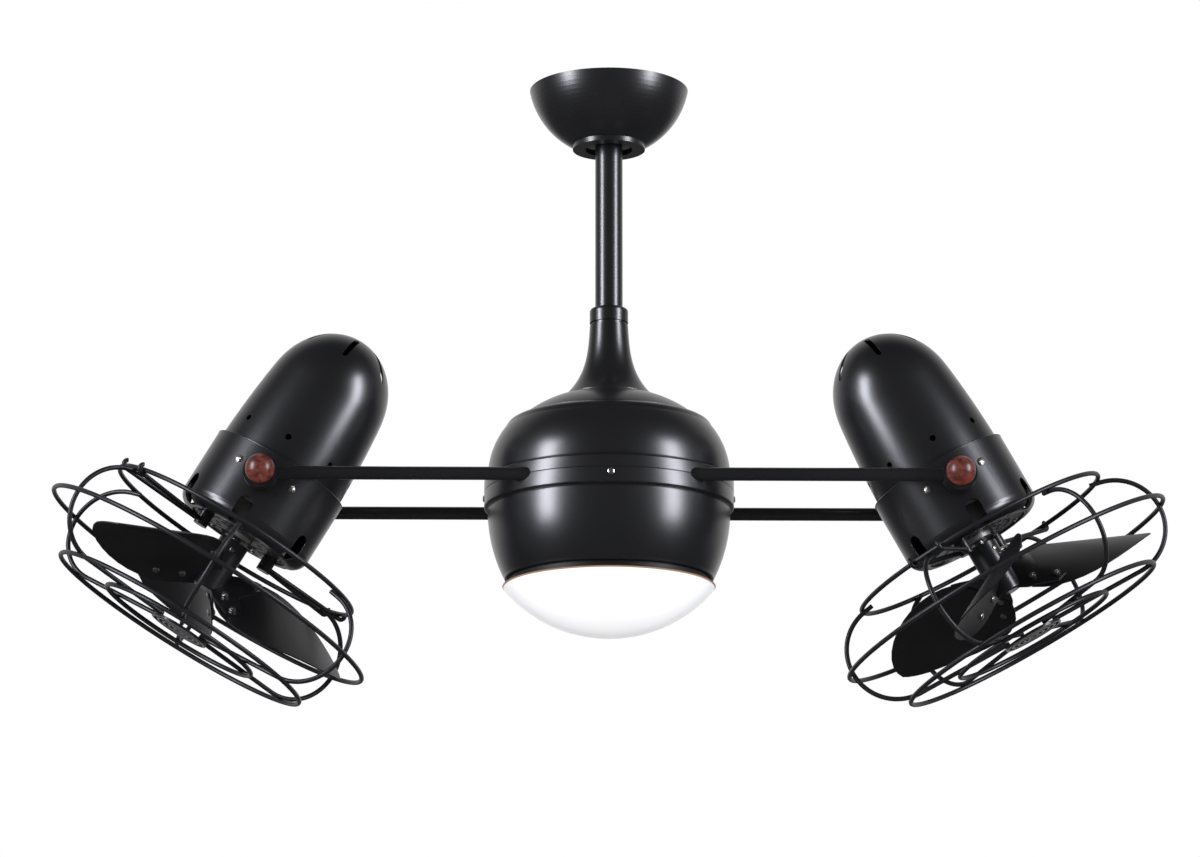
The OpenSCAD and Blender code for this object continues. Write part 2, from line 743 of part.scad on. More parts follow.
module cage(side) color([0.1, 0.1, 0.11]) head(side) {
    start = side < 0 ? left_ribs : right_ribs;
    ring(rear_ring_r, rear_ring_z);
    ring(bulge_at + bulge_r + weld, -cage_mid);
    ring(bulge_at + bulge_r * sin(15), front_z + bulge_r * (1 - cos(15)) - weld);
    ring(inner_ring_r, front_z - weld);
    for (i = [0:5]) rotate([0, 0, start + 60 * i]) {
        translate([bulge_at, 0, -cage_mid]) rotate([90, 0, 0]) {
            rotate([0, 0, -90]) rotate_extrude(angle = 90 + rib_end) translate([bulge_r, 0])
                circle(r = wire_r, $fn = 24);
            rotate([0, 0, rib_end]) translate([bulge_r, -lap, 0]) rotate([-90, 0, 0])
                cylinder(r = straight_r, h = stub_l, $fn = 24);
        }
        translate([badge_r - 6, 0, front_z]) rotate([0, 90, 0])
            cylinder(r = straight_r, h = bulge_at - badge_r + 6 + lap, $fn = 24);
    }
    spokes(side < 0 ? left_spokes : right_spokes, 0);
}

module badge(side) color([0.1, 0.1, 0.11]) head(side) {
    back = front_z - wire_r - fit;
    translate([0, 0, back - 1.5]) cylinder(r = badge_r, h = 1.5);
    for (r = [badge_r:-6:6]) tube(r, r - 2.4, back - 2.7, back - 1.4);
}

module cage_clamps(side) color([0.1, 0.1, 0.11]) head(side) {
    places = side < 0 ? left_spokes : right_spokes;
    difference() {
        for (a = places) rotate([0, 0, a]) translate([clamp_at, 0, spoke_z - wire_r - 2])
            cylinder(r = clamp_r, h = face_z - spoke_z + wire_r + 2);
        spokes(places, fit);
    }
}

/* Fan heads, the turning parts */
module rotor(side) color("silver") head(side) {
    translate([0, 0, core_low]) cylinder(r = rotor_r, h = core_top - core_low);
    translate([0, 0, hub_foot + 8]) cylinder(r = shaft_r, h = core_top + 15 - hub_foot - 8);
}

module fan_hub(side) color([0.12, 0.12, 0.13]) head(side) {
    start = side < 0 ? left_blades_at : right_blades_at;
    bore_low = hub_foot + 8;
    edge_r = fan_hub_r - hub_edge;
    outline = concat([[0, hub_foot]], round_over([edge_r, hub_foot], [fan_hub_r, hub_foot + hub_edge]),
                     [[fan_hub_r, hub_top - 1], [fan_hub_r - 1, hub_top], [0, hub_top]]);
    difference() {
        union() {
            rotate_extrude() polygon(outline);
            for (i = [0:2]) blade_frame(start, i) bent_sheet(fit, arm_sheet, arm_outline);
        }
        translate([0, 0, bore_low]) cylinder(r = shaft_r + fit, h = 2 * fan_r);
        for (i = [0:2]) blade_frame(start, i) blade_screw_holes();
    }
}

module blades(side) color([0.08, 0.08, 0.09]) head(side) {
    start = side < 0 ? left_blades_at : right_blades_at;
    tip_x = fan_r - tip_bow;
    side_bow = (root_half + tip_half - blade_w) / 2;
    root_low = [blade_root, blade_sweep / 3 - root_half];
    root_high = [blade_root, blade_sweep / 3 + root_half];
    tip_low = [tip_x, blade_sweep - tip_half];
    tip_high = [tip_x, blade_sweep + tip_half];
    outline = concat(bow(root_low, tip_low, side_bow, 12), bow(tip_low, tip_high, -tip_bow, 4),
                     bow(tip_high, root_high, side_bow, 12));
    for (i = [0:2]) blade_frame(start, i) difference() {
        bent_sheet(-blade_t, 0, outline);
        blade_screw_holes();
    }
}

module blade_screws(side) color("silver") head(side) {
    start = side < 0 ? left_blades_at : right_blades_at;
    for (i = [0:2]) blade_frame(start, i) at_blade_screws() {
        translate([0, 0, -blade_t - 0.6]) cylinder(r = blade_screw_r, h = blade_t + arm_sheet + 3.6);
        translate([0, 0, -blade_t - 1.7]) cylinder(r = 3.4, h = 1.6);
        translate([0, 0, arm_sheet + 0.1]) cylinder(r = 3.6, h = 2.4, $fn = 6);
    }
}

/* Knobs, each turning on the end of a pivot stud */
module knob(side, s) color([0.42, 0.26, 0.24]) {
    over = knob_r + 1;
    translate([side * arm_reach, s * knob_y, -arm_z]) rotate([-90 * s, 0, 0]) rotate_extrude() difference() {
        circle(r = knob_r);
        translate([-over, -over]) square([over, 2 * over]);
        translate([-1, -over]) square([stud_r + fit + 1, over + stud_out - knob_y + slack]);
    }
}

ceiling_bracket();
canopy();
canopy_screws();
trim_ring();
hanging_ball();
downrod();
cross_pins();
rod_collar();
spindle();
turn_stator();
slip_ring();
hub_bearings();
turn_rotor();
brush_block();
arm_carrier();
neck_cover();
top_cap();
upper_housing();
lower_housing();
housing_screws();
arm_rods();
arm_sockets();
lamp_pan();
led_board();
led_driver();
glass_bowl();
motor_dome(-1);  // left_motor_dome
motor_band(-1);  // left_motor_band
face_plate(-1);  // left_face_plate
motor_can(-1);  // left_motor_can
stator(-1);  // left_stator
bearings(-1);  // left_bearings
pivot_brackets(-1);  // left_pivot_brackets
dome_screws(-1);  // left_dome_screws
cage(-1);  // left_cage
badge(-1);  // left_badge
cage_clamps(-1);  // left_cage_clamps
rotor(-1);  // left_rotor
fan_hub(-1);  // left_fan_hub
blades(-1);  // left_blades
blade_screws(-1);  // left_blade_screws
knob(-1, -1);  // left_front_knob
knob(-1, 1);  // left_rear_knob
motor_dome(1);  // right_motor_dome
motor_band(1);  // right_motor_band
face_plate(1);  // right_face_plate
motor_can(1);  // right_motor_can
stator(1);  // right_stator
bearings(1);  // right_bearings
pivot_brackets(1);  // right_pivot_brackets
dome_screws(1);  // right_dome_screws
cage(1);  // right_cage
badge(1);  // right_badge
cage_clamps(1);  // right_cage_clamps
rotor(1);  // right_rotor
fan_hub(1);  // right_fan_hub
blades(1);  // right_blades
blade_screws(1);  // right_blade_screws
knob(1, -1);  // right_front_knob
knob(1, 1);  // right_rear_knob
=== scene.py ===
"""Twin head ceiling fan: finishes, small fastenings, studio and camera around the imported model."""

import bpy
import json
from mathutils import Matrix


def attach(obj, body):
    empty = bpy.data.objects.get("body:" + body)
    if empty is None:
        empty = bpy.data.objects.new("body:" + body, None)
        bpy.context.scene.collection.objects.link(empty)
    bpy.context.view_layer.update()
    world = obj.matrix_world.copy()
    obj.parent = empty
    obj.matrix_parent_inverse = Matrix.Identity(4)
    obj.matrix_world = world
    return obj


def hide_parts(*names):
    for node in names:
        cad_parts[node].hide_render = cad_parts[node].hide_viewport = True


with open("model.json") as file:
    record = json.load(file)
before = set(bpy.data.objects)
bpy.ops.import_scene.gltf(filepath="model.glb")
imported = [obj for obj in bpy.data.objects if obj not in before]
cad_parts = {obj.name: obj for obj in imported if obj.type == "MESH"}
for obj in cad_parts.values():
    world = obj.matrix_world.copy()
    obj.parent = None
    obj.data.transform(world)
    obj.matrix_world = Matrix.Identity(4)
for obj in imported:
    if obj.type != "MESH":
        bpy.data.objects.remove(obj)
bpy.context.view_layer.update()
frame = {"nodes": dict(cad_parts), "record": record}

import json
import math

import bmesh
import bpy
from mathutils import Matrix, Vector

MM = 0.001

# Places repeated from the model, in millimetres and degrees
ARM_REACH = 330
ARM_Z = 405.5
HEADS = {"left": {"turn": 180, "tilt": 31, "blades": 47, "spokes": (37, -143)},
         "right": {"turn": 0, "tilt": 29, "blades": -117, "spokes": (58, -122)}}
GLASS_TOP = -497

# Motor heads, with heights from the tilting axis
DOME_R = 65.4
DOME_TOP_R = 60.4
DOME_FOOT = -4
DOME_BULGE = 0.8
DOME_T = 1.4
DOME_HOLES = 8
DOME_HOLE_R = 3
DOME_HOLE_Z = 47
CROWN_Z = 104
CROWN_H = 70.5
CROWN_LEAN = 0.105
CROWN_BLEND = 15
CROWN_STEPS = 48
CROWN_SLOTS = 6
CROWN_SLOT = (27.4, 5.4)
CROWN_SLOT_AT = 35
DRILL_L = 14
DRILL_IN = 3
PUNCH_H = 60
PUNCH_UP = 40
BAND_R = 69.5
BAND_UP = 26
BEAD_R = 0.9
BEAD_IN = 0.6
DOME_SCREWS = (65, 115, 245, 295)
DOME_SCREW_Z = 5
FACE_Z = -48.6
FACE_SCREWS = (15, 75, 135, 195, 255, 315)
FACE_SCREW_AT = 46
BOSS_LOW = -52
BRIDGE_T = 1.6
BRIDGE_BORE = 5.4
BRIDGE_R = 10
EAR_SIDE = 12
EAR_AT = 14
EAR_ROUND = 4
EAR_SCREW_AT = 15

# Fans and cages
BLADES = 3
BLADE_Z = -90
BLADE_CONE = 10.5
BLADE_PITCH = 30
BLADE_TWIST = 34
BLADE_T = 1.2
BEND_R = 137
BEND_MID = 85
BLADE_SCREWS = ((33, 30), (29, -16), (50, -30))
ARM_SHEET = 2
FAN_HUB_R = 14.6
SET_SCREW_Z = -66
WIRE_R = 2.3
CLAMP_AT = 42
SPOKE_Z = -58.87
FORK_NEAR = 4
FORK_FAR = 7
REAR_RING_R = 130.56
REAR_RING_Z = -54.96
HOOK_PAST = 3
HOOK_TURN = 150

# Hub covers, with heights from the arm plane
HUB_R = 120.2
HUB_WALL = 1.5
BELT_STEP = 3.2
BELT_UP = 12
BELT_DOWN = 15
BELT_EDGE = 1.3
BELT_FILLET = 0.8
SHELL_IN = 0.3
SHELL_OFF = 1.8
BELT_SCREWS = (0, 90, 180, 270)
BELT_SCREW_Z = -5
SEAM = 0.5
SHOULDER_R = 101
SHOULDER_H = 62.5
SHOULDER_BULGE = 4.5
CAP_R = 86.5
CAP_H = 71
CAP_EDGE = 1.5
CAP_BULGE = 2.6
CAP_GAP = 0.8
CAP_TUCK = 4
SEAT_R = 88
SEAT_H = 70.6
SEAT_W = 9.5
NECK_FOOT_R = 43
NECK_FOOT_H = 95.5
NECK_LIP = 0.7
NECK_R = 18.5
NECK_LEAN = 4.5
NECK_H = 167.5
FLARE_POWER = 3.3
FLARE_STEPS = 48
RIM_R = 100.7
RIM_DROP = 85
BOWL_BULGE = 4

# Screws: radius and height of the heads and how deep some stand, then radius and length
BELT_HEAD = (3.3, 1.5)
DOME_HEAD = (4.1, 1.7)
BLADE_HEAD = (3.4, 1.7, 0.05)
BRIDGE_HEAD = (2.6, 1.4)
FACE_HEAD = (2.4, 1.3, 0.4)
SET_HEAD = (2.6, 1.2)
BELT_SHANK = (1.35, 4.2)
DOME_SHANK = (2, 8)
BLADE_THREAD = (2, 6)
BLADE_NUT = (3.6, 2.4)

# Making of the shapes
HUB_STEPS = 160
HEAD_STEPS = 128
RING_STEPS = 32
SMALL_STEPS = 16
SHARP_EDGE = math.radians(35)
QUARTER_RISE = 0.2071  # of a quarter round, for each millimetre of its chord
HEAD_CELLS = 7
INTO_HEAD = 0.1

# The photograph: a long lens a little below the arms, turned slightly from straight ahead
IMAGE_W = 1200
FOCAL_PX = 4700
MM_PER_PX = 0.966
SENSOR_W = 36
LOOK_UP = math.radians(13.6)
TURN = math.radians(0.8)
AIM = Vector((-0.0087, 0, -0.3405))
COOL_WHITE = (0.9, 0.91, 1)
WARM_WHITE = (1, 1, 0.99)


# Finishes

def node_maker(tree):
    """A call that adds a node to the tree, with its settings and its inputs' values or links."""
    def node(kind, inputs=None, **settings):
        made = tree.nodes.new(kind)
        for key, value in settings.items():
            setattr(made, key, value)
        for key, value in (inputs or {}).items():
            if isinstance(value, bpy.types.NodeSocket):
                tree.links.new(value, made.inputs[key])
            else:
                made.inputs[key].default_value = value
        return made
    return node


def new_material(name):
    """A node material, its Principled shader, its maker of nodes and its linking call."""
    material = bpy.data.materials.new(name)
    material.use_nodes = True
    tree = material.node_tree
    return material, tree.nodes["Principled BSDF"], node_maker(tree), tree.links.new


def set_inputs(shader, values):
    for key, value in values.items():
        shader.inputs[key].default_value = value


def colour(r, g, b):
    return (r, g, b, 1)


def two_tone(node, factor, dark, light, low=0.3, high=0.7):
    """A ramp from one colour to another over part of a pattern."""
    ramp = node("ShaderNodeValToRGB", {"Fac": factor})
    ramp.color_ramp.elements[0].position = low
    ramp.color_ramp.elements[0].color = dark
    ramp.color_ramp.elements[1].position = high
    ramp.color_ramp.elements[1].color = light
    return ramp.outputs["Color"]


def noise(node, place, scale, detail):
    return node("ShaderNodeTexNoise", {"Vector": place, "Scale": scale, "Detail": detail})


def coated(name, dark, light, rough=(0.3, 0.4), grain=900, bump=0.04,
           metallic=0.0, specular=0.5, patch=14):
    """Paint, plating or plastic: slow patches of tone and gloss over a fine grain."""
    material, shader, node, link = new_material(name)
    place = node("ShaderNodeTexCoord").outputs["Object"]
    patches = noise(node, place, patch, 3).outputs["Fac"]
    fine = noise(node, place, grain, 2).outputs["Fac"]
    link(two_tone(node, patches, dark, light), shader.inputs["Base Color"])
    gloss = node("ShaderNodeMapRange", {"Value": patches, "To Min": rough[0], "To Max": rough[1]})
    link(gloss.outputs["Result"], shader.inputs["Roughness"])
    relief = node("ShaderNodeBump", {"Height": fine, "Strength": bump, "Distance": 0.0004})
    link(relief.outputs["Normal"], shader.inputs["Normal"])
    set_inputs(shader, {"Metallic": metallic, "Specular IOR Level": specular})
    return material


def turned_wood(name):
    """Dark reddish wood under lacquer: soft bands of growth with fine dark pores along them."""
    material, shader, node, link = new_material(name)
    place = node("ShaderNodeTexCoord").outputs["Object"]
    along = node("ShaderNodeMapping", {"Vector": place, "Scale": (1.0, 0.4, 1.3),
                                       "Rotation": (0.5, 0.3, 0.9)}).outputs["Vector"]
    bands = node("ShaderNodeTexNoise", {"Vector": along, "Scale": 130, "Detail": 3,
                                        "Distortion": 0.8}).outputs["Fac"]
    pores = noise(node, along, 800, 4).outputs["Fac"]
    body = two_tone(node, bands, colour(0.05, 0.011, 0.007), colour(0.17, 0.038, 0.025),
                    0.35, 0.65)
    specks = two_tone(node, pores, colour(0.45, 0.4, 0.4), colour(1, 1, 1), 0.38, 0.5)
    mix = node("ShaderNodeMix", {"Factor": 0.6}, data_type="RGBA", blend_type="MULTIPLY")
    link(body, mix.inputs[6])
    link(specks, mix.inputs[7])
    link(mix.outputs[2], shader.inputs["Base Color"])
    set_inputs(shader, {"Roughness": 0.36, "Coat Weight": 0.15, "Coat Roughness": 0.25})
    relief = node("ShaderNodeBump", {"Height": pores, "Strength": 0.04, "Distance": 0.0003})
    link(relief.outputs["Normal"], shader.inputs["Normal"])
    return material


def opal_glass(name):
    """White cased glass under a smooth skin, with a brown band of painted warm reflection at its
    rim.
    """
    material, shader, node, link = new_material(name)
    place = node("ShaderNodeTexCoord").outputs["Object"]
    cloud = noise(node, place, 9, 2).outputs["Fac"]
    white = two_tone(node, cloud, colour(0.9, 0.895, 0.885), colour(0.94, 0.938, 0.93))
    height = node("ShaderNodeSeparateXYZ", {"Vector": place}).outputs["Z"]
    # The top of the bowl, where it meets the fitter, is painted brown: a painted warm reflection,
    # not a colour of the glass.
    rim = node("ShaderNodeMapRange", {"Value": height, "From Min": (GLASS_TOP - 1.6) * MM,
                                      "From Max": (GLASS_TOP - 1.1) * MM}).outputs["Result"]
    mix = node("ShaderNodeMix", {"Factor": rim}, data_type="RGBA")
    link(white, mix.inputs[6])
    # Brown of the painted reflection band at the rim.
    mix.inputs[7].default_value = colour(0.3, 0.17, 0.1)
    link(mix.outputs[2], shader.inputs["Base Color"])
    set_inputs(shader, {"Roughness": 0.3, "Coat Weight": 0.3, "Coat Roughness": 0.1})
    return material


def wound_copper(name):
    """Enamelled copper wire wound side by side."""
    material, shader, node, link = new_material(name)
    place = node("ShaderNodeTexCoord").outputs["Object"]
    turns = node("ShaderNodeTexWave", {"Vector": place, "Scale": 420, "Distortion": 0.6})
    turns = turns.outputs["Fac"]
    # Darker in the grooves between the turns and lighter on their crests: painted shade and painted
    # highlight over the copper.
    link(two_tone(node, turns, colour(0.25, 0.08, 0.025), colour(0.55, 0.24, 0.09)),
         shader.inputs["Base Color"])
    set_inputs(shader, {"Metallic": 0.7, "Roughness": 0.35})
    relief = node("ShaderNodeBump", {"Height": turns, "Strength": 0.4, "Distance": 0.0005})
    link(relief.outputs["Normal"], shader.inputs["Normal"])
    return material


FINISHES = {
    "black_finish": coated("black_powder_coat",
                           colour(0.0055, 0.0057, 0.0068), colour(0.008, 0.0082, 0.0095),
                           rough=(0.27, 0.31), grain=1100, bump=0.02, specular=0.9, patch=5),
    "blade_black": coated("black_sheet_paint",
                          colour(0.0045, 0.0045, 0.005), colour(0.0065, 0.0065, 0.007),
                          rough=(0.42, 0.5), grain=1500, bump=0.05, specular=0.4),
    "fitter_black": coated("fitter_paint", colour(0.006, 0.006, 0.006), colour(0.01, 0.01, 0.01),
                           rough=(0.45, 0.55), specular=0.3),
    "zinc_steel": coated("zinc_plating", colour(0.5, 0.5, 0.5), colour(0.64, 0.63, 0.61),
                         rough=(0.25, 0.38), metallic=1.0, grain=600),
    "screw_steel": coated("nickel_plating", colour(0.55, 0.53, 0.48), colour(0.68, 0.66, 0.6),
                          rough=(0.26, 0.34), metallic=1.0),
    "plate_steel": coated("dark_zinc_plate", colour(0.04, 0.04, 0.04), colour(0.085, 0.083, 0.078),
                          rough=(0.3, 0.45), metallic=0.8, grain=500),
    "cast_alloy": coated("cast_alloy", colour(0.38, 0.37, 0.35), colour(0.52, 0.51, 0.49),
                         rough=(0.4, 0.55), metallic=0.9, grain=300, bump=0.3),
    "copper_winding": wound_copper("copper_winding"),
    "contact_brass": coated("contact_brass", colour(0.55, 0.38, 0.14), colour(0.7, 0.52, 0.24),
                            rough=(0.2, 0.3), metallic=1.0),
    "magnet_steel": coated("magnet_steel", colour(0.05, 0.05, 0.055), colour(0.1, 0.1, 0.105),
                           rough=(0.4, 0.5), metallic=0.8),
    "brown_plastic": coated("brush_block_plastic",
                            colour(0.1, 0.045, 0.02), colour(0.14, 0.065, 0.03),
                            rough=(0.45, 0.55)),
    "board_white": coated("board_white", colour(0.78, 0.78, 0.76), colour(0.86, 0.86, 0.84),
                          rough=(0.4, 0.5)),
    "opal_glass": opal_glass("opal_glass"),
    "dark_wood": turned_wood("lacquered_wood"),
}
WIRE_BLACK = coated("black_wire_enamel",
                    colour(0.006, 0.0062, 0.0075), colour(0.0085, 0.0087, 0.01),
                    rough=(0.4, 0.45), bump=0.0)


def dress_nodes():
    """Every node of the model takes the finish of its slot, and the cages their enamel."""
    for part in frame["record"]["subparts"]:
        mesh = frame["nodes"][part["node"]].data
        finish = WIRE_BLACK if part["node"].endswith("_cage") else FINISHES[part["material_slot"]]
        mesh.materials.clear()
        mesh.materials.append(finish)


# Frames of the pieces, in millimetres

def shift(x, y, z):
    return Matrix.Translation((x, y, z))


def turned(degrees, axis):
    return Matrix.Rotation(math.radians(degrees), 4, axis)


def head_frame(side):
    """X points outward along the arms, and -Z from the motor into the cage."""
    head = HEADS[side]
    return turned(head["turn"], "Z") @ shift(ARM_REACH, 0, -ARM_Z) @ turned(-head["tilt"], "Y")


def blade_frame(side, number):
    around = HEADS[side]["blades"] + 360 / BLADES * number
    return (head_frame(side) @ turned(around, "Z") @ shift(0, 0, BLADE_Z)
            @ turned(BLADE_CONE, "Y") @ turned(BLADE_PITCH, "X"))


def blade_screw_seat(side, number, spot):
    """On a blade's rear face at one of its screws, square to the bent sheet."""
    twist = math.radians(BLADE_TWIST)
    across = spot[1] * math.cos(twist) + (spot[0] - BEND_MID) * math.sin(twist)
    drop = math.sqrt(BEND_R ** 2 - across ** 2) - BEND_R
    return (blade_frame(side, number) @ shift(*spot, drop) @ turned(-BLADE_TWIST, "Z")
            @ Matrix.Rotation(math.asin(-across / BEND_R), 4, "X"))


# Shapes: a maker adds its shape to a mesh at the origin

def add_shape(work, make, place):
    """Let a maker add its shape, then move what it added to its place."""
    before = set(work.verts)
    make(work)
    added = [v for v in work.verts if v not in before]
    bmesh.ops.transform(work, matrix=place, verts=added)


def finish_piece(work, name, body, slot, *nodes, finish=None):
    """Clean a mesh built in millimetres and hang it on its body, in place of any nodes named."""
    bmesh.ops.remove_doubles(work, verts=work.verts, dist=0.005)
    bmesh.ops.recalc_face_normals(work, faces=work.faces)
    bmesh.ops.scale(work, vec=(MM, MM, MM), verts=work.verts)
    for face in work.faces:
        face.smooth = True
    for edge in work.edges:
        if len(edge.link_faces) == 2 and edge.calc_face_angle(0) > SHARP_EDGE:
            edge.smooth = False
    mesh = bpy.data.meshes.new(name)
    work.to_mesh(mesh)
    work.free()
    piece = bpy.data.objects.new(name, mesh)
    mesh.materials.append(finish or FINISHES[slot])
    bpy.context.scene.collection.objects.link(piece)
    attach(piece, body)
    if nodes:
        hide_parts(*nodes)


def turned_shape(profile, steps):
    """The solid that a profile of (radius, height) points turns round Z."""
    def make(work):
        verts = [work.verts.new((r, 0, z)) for r, z in profile]
        edges = [work.edges.new(pair) for pair in zip(verts, verts[1:])]
        bmesh.ops.spin(work, geom=verts + edges, cent=(0, 0, 0), axis=(0, 0, 1),
                       angle=2 * math.pi, steps=steps, use_merge=True)
        bmesh.ops.remove_doubles(work, verts=work.verts, dist=0.0005)
    return make


def pan_head(radius, height, sink=0.0):
    """A domed screw head with a cross recess, its foot at Z = 0 or a little below."""
    arm = 1.1 / HEAD_CELLS

    def make(work):
        top = bmesh.ops.create_grid(work, size=1,
                                    x_segments=HEAD_CELLS, y_segments=HEAD_CELLS)["verts"]
        faces = {face for vert in top for face in vert.link_faces}
        cross = []
        for face in faces:
            x, y = face.calc_center_median().xy
            if min(abs(x), abs(y)) < arm and max(abs(x), abs(y)) < 5 * arm:
                cross.append(face)
        for vert in top:
            x, y = vert.co.xy
            round_x = x * math.sqrt(1 - y * y / 2)
            round_y = y * math.sqrt(1 - x * x / 2)
            rise = math.sqrt(max(0, 1 - round_x ** 2 - round_y ** 2))
            vert.co = (radius * round_x, radius * round_y, height * (0.35 + 0.65 * rise))
        rim = list({edge for face in faces for edge in face.edges if len(edge.link_faces) == 1})
        side = bmesh.ops.extrude_edge_only(work, edges=rim)["geom"]
        for part in side:
            if isinstance(part, bmesh.types.BMVert):
                part.co.z = -sink
        foot = [part for part in side
                if isinstance(part, bmesh.types.BMEdge) and len(part.link_faces) == 1]
        bmesh.ops.edgeloop_fill(work, edges=foot)
        bmesh.ops.inset_region(work, faces=cross, thickness=0.05 * radius, depth=-0.45 * height)
    return make


def shank(radius, length):
    """A screw's plain body, down from just inside its head."""
    profile = [(0, -length), (radius, -length), (radius, INTO_HEAD), (0, INTO_HEAD)]
    return turned_shape(profile, SMALL_STEPS)


def threaded_end(radius, length, pitch=0.7):
    """A screw's free end, ridged by its thread and closed by a small chamfer."""
    ridges = [(radius * (1 if i % 2 else 0.86), i * pitch / 2)
              for i in range(int(2 * (length - 0.5) / pitch))]
    return turned_shape([(0, 0)] + ridges + [(radius * 0.7, length), (0, length)],
                        SMALL_STEPS)


def prism(work, radius, length, segments):
    """Add an upright prism round the origin and give back its corners."""
    return bmesh.ops.create_cone(work, cap_ends=True, segments=segments,
                                 radius1=radius, radius2=radius, depth=length)["verts"]


def drill(radius, length):
    def make(work):
        prism(work, radius, length, 24)
    return make


def hex_nut(radius, height):
    def make(work):
        verts = prism(work, radius, height, 6)
        bmesh.ops.translate(work, verts=verts, vec=(0, 0, height / 2))
        edges = {e for v in verts for e in v.link_edges}
        bmesh.ops.bevel(work, geom=list(edges), offset=0.25, offset_type="OFFSET", segments=2,
                        profile=0.5, affect="EDGES", material=-1)
    return make


def box(work, size, centre):
    """Add a box and give back its four upright edges."""
    verts = bmesh.ops.create_cube(work, size=1)["verts"]
    bmesh.ops.scale(work, vec=size, verts=verts)
    bmesh.ops.translate(work, vec=centre, verts=verts)
    upright = {edge for vert in verts for edge in vert.link_edges
               if abs(edge.verts[0].co.z - edge.verts[1].co.z) > size[2] / 2}
    return list(upright)


def slot_punch(length, width, height):
    """An upright bar with round ends."""
    def make(work):
        upright = box(work, (length, width, height), (0, 0, 0))
        bmesh.ops.bevel(work, geom=upright, offset=width / 2 - 0.02, segments=7, profile=0.5,
                        affect="EDGES", material=-1)
    return make


def bow(start, end, rise, count=36):
    """Points of the arc from start to end that bulges by rise to the left of the way there."""
    start, end = Vector(start), Vector(end)
    chord = (end - start).length
    radius = (chord ** 2 / 4 + rise ** 2) / (2 * rise)
    half = math.asin(chord / 2 / radius)
    along = (end - start) / chord
    left = Vector((-along.y, along.x))
    centre = (start + end) / 2 - left * (radius - rise)
    turns = [half * (2 * i / count - 1) for i in range(count + 1)]
    return [centre + radius * (left * math.cos(t) + along * math.sin(t)) for t in turns]


def quarter(start, end, inward=False):
    """Points of a quarter round between two points of an outline."""
    rise = QUARTER_RISE * (Vector(end) - Vector(start)).length
    return bow(start, end, rise if inward else -rise, 5)


def sheet(path, wall):
    """Closed outline of a sheet that has the path as its outer face and lies to the left of it."""
    path = [Vector(point) for point in path]
    inner = []
    for i, point in enumerate(path):
        along = (path[min(i + 1, len(path) - 1)] - path[max(i - 1, 0)]).normalized()
        offset = point + wall * Vector((-along.y, along.x))
        inner.append(Vector((max(0, offset.x), offset.y)))
    return path + inner[::-1] + path[:1]


def cut_out(blank, cutters):
    """The blank less the shapes in the cutters."""
    blocks = []
    for source in (blank, cutters):
        mesh = bpy.data.meshes.new("block")
        source.to_mesh(mesh)
        source.free()
        blocks.append(bpy.data.objects.new("block", mesh))
        bpy.context.scene.collection.objects.link(blocks[-1])
    cut = blocks[0].modifiers.new("cut", "BOOLEAN")
    cut.operation = "DIFFERENCE"
    cut.solver = "EXACT"
    cut.object = blocks[1]
    left = bmesh.new()
    left.from_mesh(blocks[0].evaluated_get(bpy.context.evaluated_depsgraph_get()).to_mesh())
    for block in blocks:
        bpy.data.objects.remove(block)
    return left


# Motor domes and bands

def motor_dome(side):
    """Long drawn cover with a round crown, drilled round its foot and slotted in its crown."""
    crown = []
    for i in range(CROWN_STEPS):
        a = math.pi / 2 * i / CROWN_STEPS
        up = CROWN_H * math.sin(a)
        lean = CROWN_LEAN * up * math.exp(-up / CROWN_BLEND)
        crown.append((DOME_TOP_R * math.cos(a) - lean, CROWN_Z + up))
    crown.append((0, CROWN_Z + CROWN_H))
    shell = bow((DOME_R, BAND_UP), (DOME_TOP_R, CROWN_Z), -DOME_BULGE)
    outline = sheet([(DOME_R, DOME_FOOT)] + shell[:-1] + crown, DOME_T)
    blank = bmesh.new()
    add_shape(blank, turned_shape(outline, HEAD_STEPS), Matrix())
    bmesh.ops.recalc_face_normals(blank, faces=blank.faces)
    cutters = bmesh.new()
    for k in range(DOME_HOLES):
        add_shape(cutters, drill(DOME_HOLE_R, DRILL_L),
                  turned(360 / DOME_HOLES * k, "Z") @ shift(DOME_R - DRILL_IN, 0, DOME_HOLE_Z)
                  @ turned(90, "Y"))
    for k in range(CROWN_SLOTS):
        add_shape(cutters, slot_punch(*CROWN_SLOT, PUNCH_H),
                  turned(360 / CROWN_SLOTS * (k + 0.5), "Z")
                  @ shift(CROWN_SLOT_AT, 0, CROWN_Z + PUNCH_UP))
    dome = cut_out(blank, cutters)
    bmesh.ops.transform(dome, matrix=head_frame(side), verts=dome.verts)
    finish_piece(dome, side + "_dome_sheet", side + "_head", "black_finish", side + "_motor_dome")


def band_bead(side):
    """The rolled upper edge of the motor band."""
    angles = [math.radians(30 * i) for i in range(13)]
    profile = [(BAND_R - BEAD_IN + BEAD_R * math.cos(a), BAND_UP + BEAD_R * math.sin(a))
               for a in angles]
    work = bmesh.new()
    add_shape(work, turned_shape(profile, HEAD_STEPS), head_frame(side))
    finish_piece(work, side + "_band_bead", side + "_head", "black_finish")


# Hub covers

def hub_cover(node, path):
    work = bmesh.new()
    add_shape(work, turned_shape(sheet(path, HUB_WALL), HUB_STEPS), shift(0, 0, -ARM_Z))
    finish_piece(work, node + "_sheet", "turning_hub", "black_finish", node)


def neck_cover():
    """Flared from the hub up to the downrod's collar."""
    flare = []
    for i in range(FLARE_STEPS + 1):
        u = 1 - i / FLARE_STEPS
        spread = (NECK_FOOT_R - NECK_R - NECK_LEAN) * u ** FLARE_POWER
        flare.append((NECK_R + NECK_LEAN * u + spread,
                      NECK_H - (NECK_H - NECK_FOOT_H - NECK_LIP) * u))
    hub_cover("neck_cover", [(NECK_FOOT_R, NECK_FOOT_H)] + flare)


